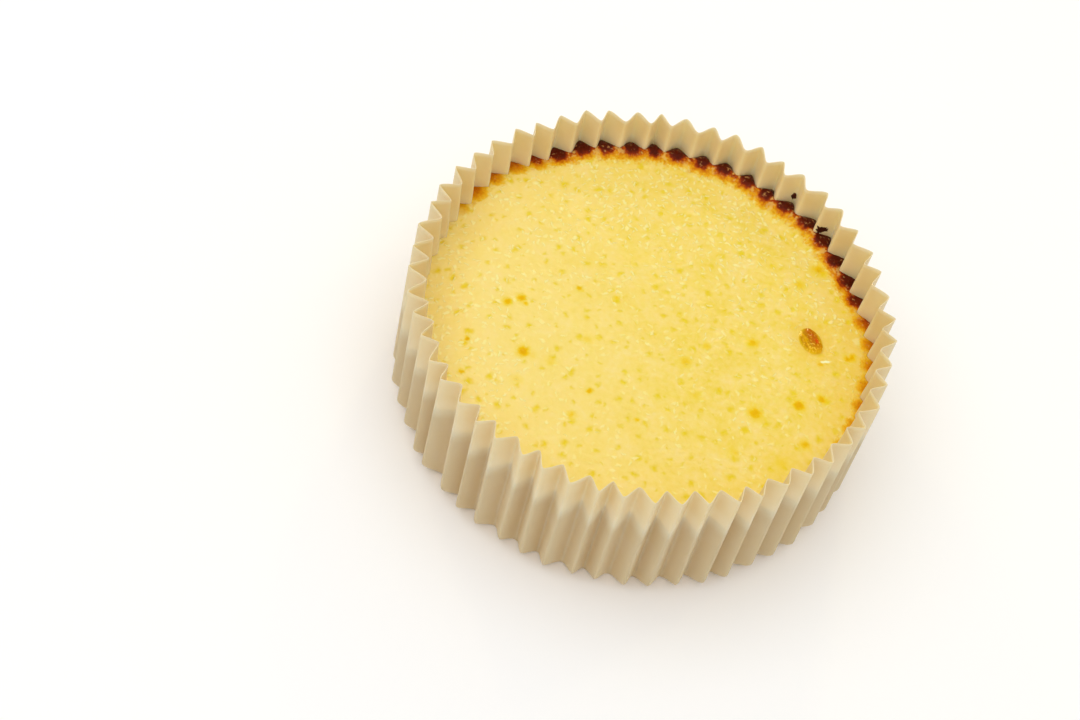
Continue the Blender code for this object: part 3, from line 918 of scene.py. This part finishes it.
def ring_sheet(name, rings):
    """A closed sheet of rings, each with as many points as the next, or twice or half as many."""
    along, travel = [0.0], [0.0]
    rows = []
    for points, where in rings:
        rows.append(range(len(along), len(along) + points))
        along += [FLUTES * point / points for point in range(points)]
        travel += [where] * points
    last = len(along)
    along.append(0.0)
    travel.append(5.0)

    faces = [(0, rows[0][point - 1], rows[0][point])[::-1] for point in range(len(rows[0]))]
    for low, high in zip(rows, rows[1:]):
        count, count_high = len(low), len(high)
        for point in range(min(count, count_high)):
            if count == count_high:
                faces.append((low[point - 1], low[point], high[point], high[point - 1]))
            elif count > count_high:
                a, b, c = (low[(2 * point + step) % count] for step in (-2, -1, 0))
                d, e = high[point - 1], high[point]
                faces += [(a, b, d), (b, e, d), (b, c, e)]
            else:
                a, b, c = (high[(2 * point + step) % count_high] for step in (-2, -1, 0))
                d, e = low[point - 1], low[point]
                faces += [(b, a, d), (b, d, e), (c, b, e)]
    faces += [(rows[-1][point - 1], rows[-1][point], last) for point in range(len(rows[-1]))]

    mesh = bpy.data.meshes.new(name)
    mesh.from_pydata([(0.0, 0.0, 0.0)] * len(along), [], faces)
    for label, values in (("along", along), ("travel", travel)):
        mesh.attributes.new(label, "FLOAT", "POINT").data.foreach_set("value", values)
    return mesh


def new_material(name, finish):
    """A material with its finish; returns it with its tree and its shader."""
    made = bpy.data.materials.new(name)
    made.use_nodes = True
    shader = made.node_tree.nodes["Principled BSDF"]
    give(made.node_tree, shader, finish)
    return made, made.node_tree, shader


def noises(tree, place, patterns):
    """A noise for each pattern, from its width in millimetres and its detail."""
    return {
        label: add(tree, NOISE, {"Vector": place, "Scale": 1.0 / (width * MM), "Detail": detail})
        for label, (width, detail) in patterns.items()
    }


def toned(tree, share, stops):
    """The colour at this share of a ramp with (position, hex colour) stops."""
    ramp = add(tree, RAMP, (share,))
    elements = ramp.color_ramp.elements
    while len(elements) < len(stops):
        elements.new(1.0)
    for element, (position, code) in zip(elements, stops):
        element.position = position
        element.color = linear(code)
    return ramp


def coated(tree, colour, coats):
    """The colour under one coat after another, each with its share and a colour or hex value."""
    for share, coat in coats:
        over = linear(coat) if isinstance(coat, str) else coat
        colour = add(tree, MIX, {"Factor": share, "A": colour, "B": over}, data_type="RGBA")
    return colour


def paper_material():
    """Unbleached greaseproof paper, supercalendered: dry and silky, palest along its creases, partly from
    whitened fibres and partly as a painted highlight, with painted light in its flutes.
    """
    made, tree, shader = new_material("unbleached_greaseproof_paper", PAPER_FINISH)
    coordinates = add(tree, "ShaderNodeTexCoord").outputs["Object"]
    grain = noises(tree, coordinates, PAPER_GRAIN)
    pocket, heat, above = (
        add(tree, ATTRIBUTE, attribute_name=label).outputs["Fac"]
        for label in ("pocket", "browned", "above_cake")
    )
    # Along the inner folds the paper is painted paler: partly fibres whitened by the crease, partly a
    # painted highlight where the fold catches the light
    crease = add(tree, RANGE, (pocket, 0.045, 0.0, 0.0, 0.2), interpolation_type="SMOOTHSTEP")
    # Painted light: the flutes are painted paler, as if lit through the paper from behind, against the
    # shade in them
    painted_light_through = add(tree, RANGE, (pocket, 0.1, 0.9, 0.0, 0.5), interpolation_type="SMOOTHSTEP")

    # Below the cake's surface the paper has drunk butterfat; from about 8 mm above the cake's edge down
    # it is painted paler, as painted light against the shade there; in the flutes where the edge is
    # browned a dusky halo lies just above the cake
    ragged = add(tree, MATH, (grain["ragged"], 0.5), operation="SUBTRACT")
    edge = add(tree, MATH, (ragged, 1.6, above), operation="MULTIPLY_ADD")
    painted_light_near_cake = add(tree, RANGE, (edge, 8.0, 1.0, 0.0, 0.3), interpolation_type="SMOOTHSTEP")
    greasy = add(tree, RANGE, (edge, 0.6, -6.0, 0.0, 0.35), interpolation_type="SMOOTHSTEP")
    dusk = add(tree, RANGE, (edge, 2.0, 0.0, 0.0, 0.12), interpolation_type="SMOOTHSTEP")
    in_pocket = add(tree, RANGE, (pocket, 0.1, 0.7, 0.0, 1.0), interpolation_type="SMOOTHSTEP")
    hot_pocket = add(tree, MATH, (in_pocket, heat), operation="MULTIPLY")
    dusky = add(tree, MATH, (dusk, hot_pocket), operation="MULTIPLY")
    colour = coated(tree, toned(tree, grain["clouds"], PAPER_TONES), (
        (crease, "#f8e4c2"),
        (painted_light_through, "#efddb4"),
        (painted_light_near_cake, "#f4e8cc"),
        (greasy, "#c08f45"),
        (dusky, "#8d7468"),
    ))
    fibres = {"Strength": 0.35, "Distance": 0.05 * MM, "Height": grain["fibres"]}
    bump = add(tree, "ShaderNodeBump", fibres)
    give(tree, shader, {"Base Color": colour, "Normal": bump})
    return made


def ground_colour(tree, flat, grain):
    """Patches from pinkish cream to lemon, deeper towards the right and paler at the front left."""
    mixed = add(tree, MIX, (MOTTLE_SHARE, grain["patches"], grain["mottle"]))
    across, frontward = (
        add(tree, VECTOR, (flat, way), operation="DOT_PRODUCT").outputs["Value"]
        for way in (RIGHTWARDS, FRONTWARDS)
    )
    deeper = (across, 42.0 * MM, 70.0 * MM, 0.0, 0.4)
    paler = (frontward, -20.0 * MM, 55.0 * MM, 0.0, 0.6)
    return coated(tree, toned(tree, mixed, BATTER_TONES), (
        (add(tree, RANGE, deeper, interpolation_type="SMOOTHSTEP"), "#ecc746"),
        (add(tree, RANGE, paler, interpolation_type="SMOOTHSTEP"), "#fbe28e"),
    ))


def curd_and_glint_crowding(tree, flat, drifts):
    """How crowded the raised strokes and their painted glints are: most towards the back and the left,
    and in drifts.
    """
    depth = add(tree, SPLIT, (flat,)).outputs["Y"]
    rearward = add(tree, RANGE, (depth, 0.0, 55.0 * MM, 0.1, 1.1))
    to_left = add(tree, VECTOR, (flat, LEFTWARDS), operation="DOT_PRODUCT").outputs["Value"]
    leftward = add(tree, RANGE, (to_left, 10.0 * MM, 60.0 * MM, 0.0, 0.65))
    placed = add(tree, MATH, (rearward, leftward), operation="MAXIMUM")
    drifted = add(tree, RANGE, (drifts, 0.38, 0.62, 0.0, 0.6))
    return add(tree, MATH, (placed, drifted), operation="ADD")


def freckled_share(tree, flat, frayed):
    """How deep in a golden freckle a place is, from 0 to 1."""
    share = 0.0
    for x, y, radius, gilding in FRECKLES:
        away = add(tree, VECTOR, (flat, (x * MM, y * MM, 0.0)), operation="DISTANCE").outputs["Value"]
        torn = add(tree, MATH, (frayed, FRECKLE_FRAY, away), operation="MULTIPLY_ADD")
        reach = (torn, FRECKLE_REACH * radius * MM, 0.0, 0.0, gilding)
        spot = add(tree, RANGE, reach, interpolation_type="SMOOTHSTEP")
        share = add(tree, MATH, (share, spot), operation="MAXIMUM")
    return share


def caramel_colour(tree, local, reach):
    """The blister: streaky caramel with one reddish spot, yellow at its near end, with painted glints
    dotted over it, most at that end.
    """
    place = add(tree, SPLIT, (local,))
    drawn_out = add(tree, VECTOR, (local, (1.0, 3.0, 1.0)), operation="MULTIPLY")
    streaks = add(tree, NOISE, {"Vector": drawn_out, "Scale": 1.5, "Detail": 2.0})
    stray = add(tree, MATH, (streaks, 0.5), operation="SUBTRACT")
    strip = add(tree, MATH, (stray, 0.9, place.outputs["Y"]), operation="MULTIPLY_ADD")
    across = add(tree, RANGE, (strip, -1.0, 1.0, 0.0, 1.0))
    near_end = add(tree, RANGE, (place.outputs["X"], 0.3, 0.95, 0.0, 0.85))
    outer = add(tree, RANGE, (reach, 0.75, 1.0, 0.0, 0.8))
    left_side = add(tree, RANGE, (place.outputs["Y"], 0.4, -0.3, 0.0, 1.0))
    lip = add(tree, MATH, (outer, left_side), operation="MULTIPLY")
    from_spot = add(tree, VECTOR, (local, RED_SPOT), operation="DISTANCE").outputs["Value"]
    spot = add(tree, RANGE, (from_spot, 0.26, 0.08, 0.0, 0.9), interpolation_type="SMOOTHSTEP")
    # Painted glints: bright yellow dots, most at the near end
    blister_glint_noise = add(tree, NOISE, {"Vector": local, "Scale": 5.0, "Detail": 1.0})
    blister_glint_dots = add(tree, RANGE, (blister_glint_noise, 0.54, 0.66, 0.0, 1.0))
    nearer = add(tree, RANGE, (place.outputs["X"], -0.2, 0.6, 0.25, 0.9))
    painted_blister_glints = add(tree, MATH, (blister_glint_dots, nearer), operation="MULTIPLY")
    return coated(tree, toned(tree, across, CARAMEL_TONES), (
        (near_end, "#ecb80c"),
        (lip, "#e8c010"),
        (spot, "#dc5008"),
        (painted_blister_glints, "#ffcc3c"),
    ))


def painted_highlight_coats(tree, flat, frayed):
    """A pale coat for each painted highlight."""
    coats = []
    for x, y, half_length, half_width, turn, paleness in PAINTED_HIGHLIGHTS:
        away = add(tree, VECTOR, (flat, (x * MM, y * MM, 0.0)), operation="SUBTRACT")
        turned = {"Vector": away, "Angle": math.radians(-turn)}
        local = add(tree, ROTATE, turned, rotation_type="Z_AXIS")
        scaled = add(tree, VECTOR, (local, (half_length * MM, half_width * MM, MM)), operation="DIVIDE")
        reach = add(tree, VECTOR, (scaled,), operation="LENGTH").outputs["Value"]
        torn = add(tree, MATH, (frayed, 1.2, reach), operation="MULTIPLY_ADD")
        painted_highlight = add(tree, RANGE, (torn, 1.2, 0.6, 0.0, paleness), interpolation_type="SMOOTHSTEP")
        coats.append((painted_highlight, "#fffbc0"))
    return coats


def crust_coats(tree, grain):
    """Coats of toasted crust, of foam at its inner folds and of painted glints on it."""
    level, heat, pocket = (
        add(tree, ATTRIBUTE, attribute_name=label).outputs["Fac"]
        for label in ("browning", "browned", "pocket")
    )
    shift = add(tree, MATH, (grain["coarse"], 0.5), operation="SUBTRACT")
    uneven_edge = add(tree, MATH, (shift, 3.0, level), operation="MULTIPLY_ADD")
    pebbling = add(tree, MATH, (grain["pebble"], 0.5), operation="SUBTRACT")
    ragged = add(tree, MATH, (pebbling, 2.2, uneven_edge), operation="MULTIPLY_ADD")
    depth = add(tree, RANGE, (ragged, -2.0, 3.0, 0.0, 1.0))
    toasting = add(tree, MATH, (depth, heat), operation="MULTIPLY")
    baked = add(tree, RANGE, (heat, 0.0, 0.3, 0.0, 1.0))
    crust = add(tree, RANGE, (ragged, -2.4, -0.8, 0.0, baked), interpolation_type="SMOOTHSTEP")
    at_fold = add(tree, RANGE, (pocket, 0.45, 0.15, 0.0, 1.0), interpolation_type="SMOOTHSTEP")
    at_crust = add(tree, RANGE, (level, -2.8, -1.2, 0.0, 1.0), interpolation_type="SMOOTHSTEP")
    bubbly = add(tree, RANGE, (grain["froth"], 0.5, 0.6, 0.0, 0.6))
    frothy = add(tree, MATH, (at_crust, bubbly), operation="MULTIPLY")
    foam = add(tree, MATH, (at_fold, frothy), operation="MULTIPLY")
    # Painted glints: small pale dots on the dark crust
    crust_glint_dots = add(tree, RANGE, (grain["glint_dots"], 0.6, 0.72, 0.0, 0.6))
    dark = add(tree, RANGE, (level, -1.0, 1.0, 0.0, 1.0))
    painted_crust_glint = add(tree, MATH, (crust_glint_dots, dark), operation="MULTIPLY")
    return [
        (crust, toned(tree, toasting, TOAST_TONES)),
        (foam, "#ecc468"),
        (painted_crust_glint, "#dea664"),
    ]


def skin_relief(tree, flat, grain, pore, curd_and_glint, crust):
    """Fine relief in millimetres: a pebbly skin, wrinkled in patches, with crisp pores and curds."""
    wrinkled = add(tree, RANGE, (grain["wrinkles"], 0.42, 0.66, 0.12, 0.8))
    skin = {"Vector": flat, "Scale": 1.0 / PEBBLE_WIDTH, "Detail": 1.0, "Distortion": 0.5}
    pebbles = add(tree, NOISE, skin)
    pebbled = add(tree, MATH, (pebbles, wrinkled), operation="MULTIPLY")
    height = add(tree, MATH, (pebbled, RELIEF["skin"]), operation="MULTIPLY")
    height = add(tree, MATH, (pore, RELIEF["pore"], height), operation="MULTIPLY_ADD")
    height = add(tree, MATH, (curd_and_glint, RELIEF["curd_and_glint"], height), operation="MULTIPLY_ADD")
    crackled = add(tree, MATH, (grain["crackle"], crust), operation="MULTIPLY")
    return add(tree, MATH, (crackled, RELIEF["crackle"], height), operation="MULTIPLY_ADD")


def cake_material():
    """Baked cream cheese batter: soft and moist, with wet pores, caramelised where it caught."""
    made, tree, shader = new_material("baked_cream_cheese_batter", BATTER_FINISH)
    coordinates = add(tree, "ShaderNodeTexCoord").outputs["Object"]
    flat = flat_place(tree, coordinates)
    grain = {**noises(tree, flat, SKIN_GRAIN), **noises(tree, coordinates, CRUST_GRAIN)}
    pore = pits(tree, coordinates)
    stain = pits(tree, coordinates, STAIN_WIDENING)
    curd_and_glint = curds_and_glints(tree, flat, curd_and_glint_crowding(tree, flat, grain["drifts"]))
    # Painted glints: the curds are painted pale, as highlights on the wet strokes
    pale = add(tree, MATH, (curd_and_glint, CURD_GLINT_PALENESS), operation="MULTIPLY")
    frayed = add(tree, MATH, (grain["fray"], 0.5), operation="SUBTRACT")
    freckled = freckled_share(tree, flat, frayed)
    gilt = add(tree, RANGE, (freckled, 0.0, 0.7, 0.0, 1.0))
    local = blister_place(tree, coordinates)
    reach = add(tree, VECTOR, (local,), operation="LENGTH").outputs["Value"]
    soft = add(tree, RANGE, (reach, 2.6, 1.0, 0.0, 0.5), interpolation_type="SMOOTHSTEP")
    bulge = add(tree, RANGE, (reach, 1.06, 0.92, 0.0, 1.0), interpolation_type="SMOOTHSTEP")
    browning = crust_coats(tree, grain)
    crust = browning[0][0]
    colour = coated(tree, ground_colour(tree, flat, grain), [
        (stain, "#ebce24"),
        (pale, "#fff2a4"),
        (gilt, toned(tree, freckled, GOLD_TONES)),
        (soft, "#efc84c"),
        (bulge, caramel_colour(tree, local, reach)),
        *painted_highlight_coats(tree, flat, frayed),
        *browning,
    ])

    # Syrup on the crust and on the blister is glossier than the crumb
    glossy = add(tree, MATH, (crust, bulge), operation="MAXIMUM")
    roughness = add(tree, RANGE, (glossy, 0.0, 1.0, 0.36, 0.2))
    relief = skin_relief(tree, flat, grain, pore, curd_and_glint, crust)
    bump = add(tree, "ShaderNodeBump", {"Strength": 1.0, "Distance": MM, "Height": relief})
    give(tree, shader, {"Base Color": colour, "Roughness": roughness, "Normal": bump})
    return made


def fleck_material():
    """Scorched batter: brittle brown-black scabs, and pale ones where the batter only dried."""
    made, tree, shader = new_material("scorched_batter", SCAB_FINISH)
    coordinates = add(tree, "ShaderNodeTexCoord").outputs["Object"]
    scorch = add(tree, ATTRIBUTE, attribute_name="scorch").outputs["Fac"]
    grit = noises(tree, coordinates, SCAB_GRAIN)["grit"]
    stray = add(tree, MATH, (grit, 0.5), operation="SUBTRACT")
    scorched = add(tree, MATH, (stray, 0.5, scorch), operation="MULTIPLY_ADD")
    bump = add(tree, "ShaderNodeBump", {"Strength": 0.6, "Distance": 0.2 * MM, "Height": grit})
    give(tree, shader, {"Base Color": toned(tree, scorched, SCAB_TONES), "Normal": bump})
    return made


def board_material():
    """Matt white board: plain and even, with no gloss."""
    finish = {"Base Color": linear(BOARD_COLOUR), **BOARD_FINISH}
    return new_material("matt_white_board", finish)[0]


def make_case(wall):
    case = new_object("pleated_paper_case")
    made_by(case_tree(wall), case, ALL_CASE_SIZES, paper_material())
    thickness = case.modifiers.new("paper_thickness", "SOLIDIFY")
    thickness.thickness = PAPER_THICKNESS
    thickness.offset = -1.0
    made_plain(case)
    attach(case, "root")
    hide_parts("paper_case")
    return case


def make_cake(wall, uneven):
    cake = new_object("baked_cheesecake", ring_sheet("baked_cheesecake", cake_rings()))
    made_by(cake_tree(wall, uneven), cake, ALL_CAKE_SIZES, cake_material())
    made_plain(cake)
    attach(cake, "root")
    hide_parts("cake")
    return cake


def make_flecks(wall):
    flecks = new_object("scabs_on_paper")
    made_by(flecks_tree(fleck_tree(wall)), flecks, PLEAT_SIZES, fleck_material())
    made_plain(flecks)
    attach(flecks, "root")
    return flecks


def make_floor():
    bpy.ops.mesh.primitive_plane_add(size=FLOOR_SIZE)
    floor = bpy.context.object
    floor.name = "floor"
    floor.data.materials.append(board_material())


def make_light(name, place, size, watts, tint="#ffffff", only_glints=False):
    """A square lamp that faces the cake; one for glints alone lights no matt surface."""
    data = bpy.data.lights.new(name, "AREA")
    data.color = linear(tint)[:3]
    data.size = size
    data.energy = watts
    light = bpy.data.objects.new(name, data)
    light.location = place
    light.visible_diffuse = not only_glints
    light.rotation_euler = (Vector(LIT_PLACE) - Vector(place)).to_track_quat("-Z", "Y").to_euler()
    bpy.context.scene.collection.objects.link(light)


def make_lights():
    make_light("overhead_softbox", **SOFTBOX)
    for name, place in GLINT_PLACES.items():
        make_light(name, place, **GLINT_LAMP)
    world = bpy.data.worlds.new("studio")
    world.use_nodes = True
    sky = world.node_tree.nodes["Background"]
    give(world.node_tree, sky, {"Color": linear("#ffffff"), "Strength": SKY_STRENGTH})
    bpy.context.scene.world = world


def make_camera():
    """The photograph's viewpoint: above and in front, rolled, with the cake right of the middle."""
    data = bpy.data.cameras.new("camera")
    data.lens = CAMERA_LENS
    data.sensor_width = SENSOR_WIDTH
    camera = bpy.data.objects.new("camera", data)
    camera.location = CAMERA_PLACE
    look = (CAMERA_AIM - CAMERA_PLACE).to_track_quat("-Z", "Y")
    camera.rotation_euler = (look @ Quaternion((0.0, 0.0, 1.0), CAMERA_ROLL)).to_euler()
    bpy.context.scene.collection.objects.link(camera)
    bpy.context.scene.camera = camera


uneven = uneven_tree()
wall = wall_tree(uneven, fold_tree(uneven))
make_case(wall)
make_cake(wall, uneven)
make_flecks(wall)
make_floor()
make_lights()
make_camera()
bpy.context.scene.view_settings.view_transform = "Standard"
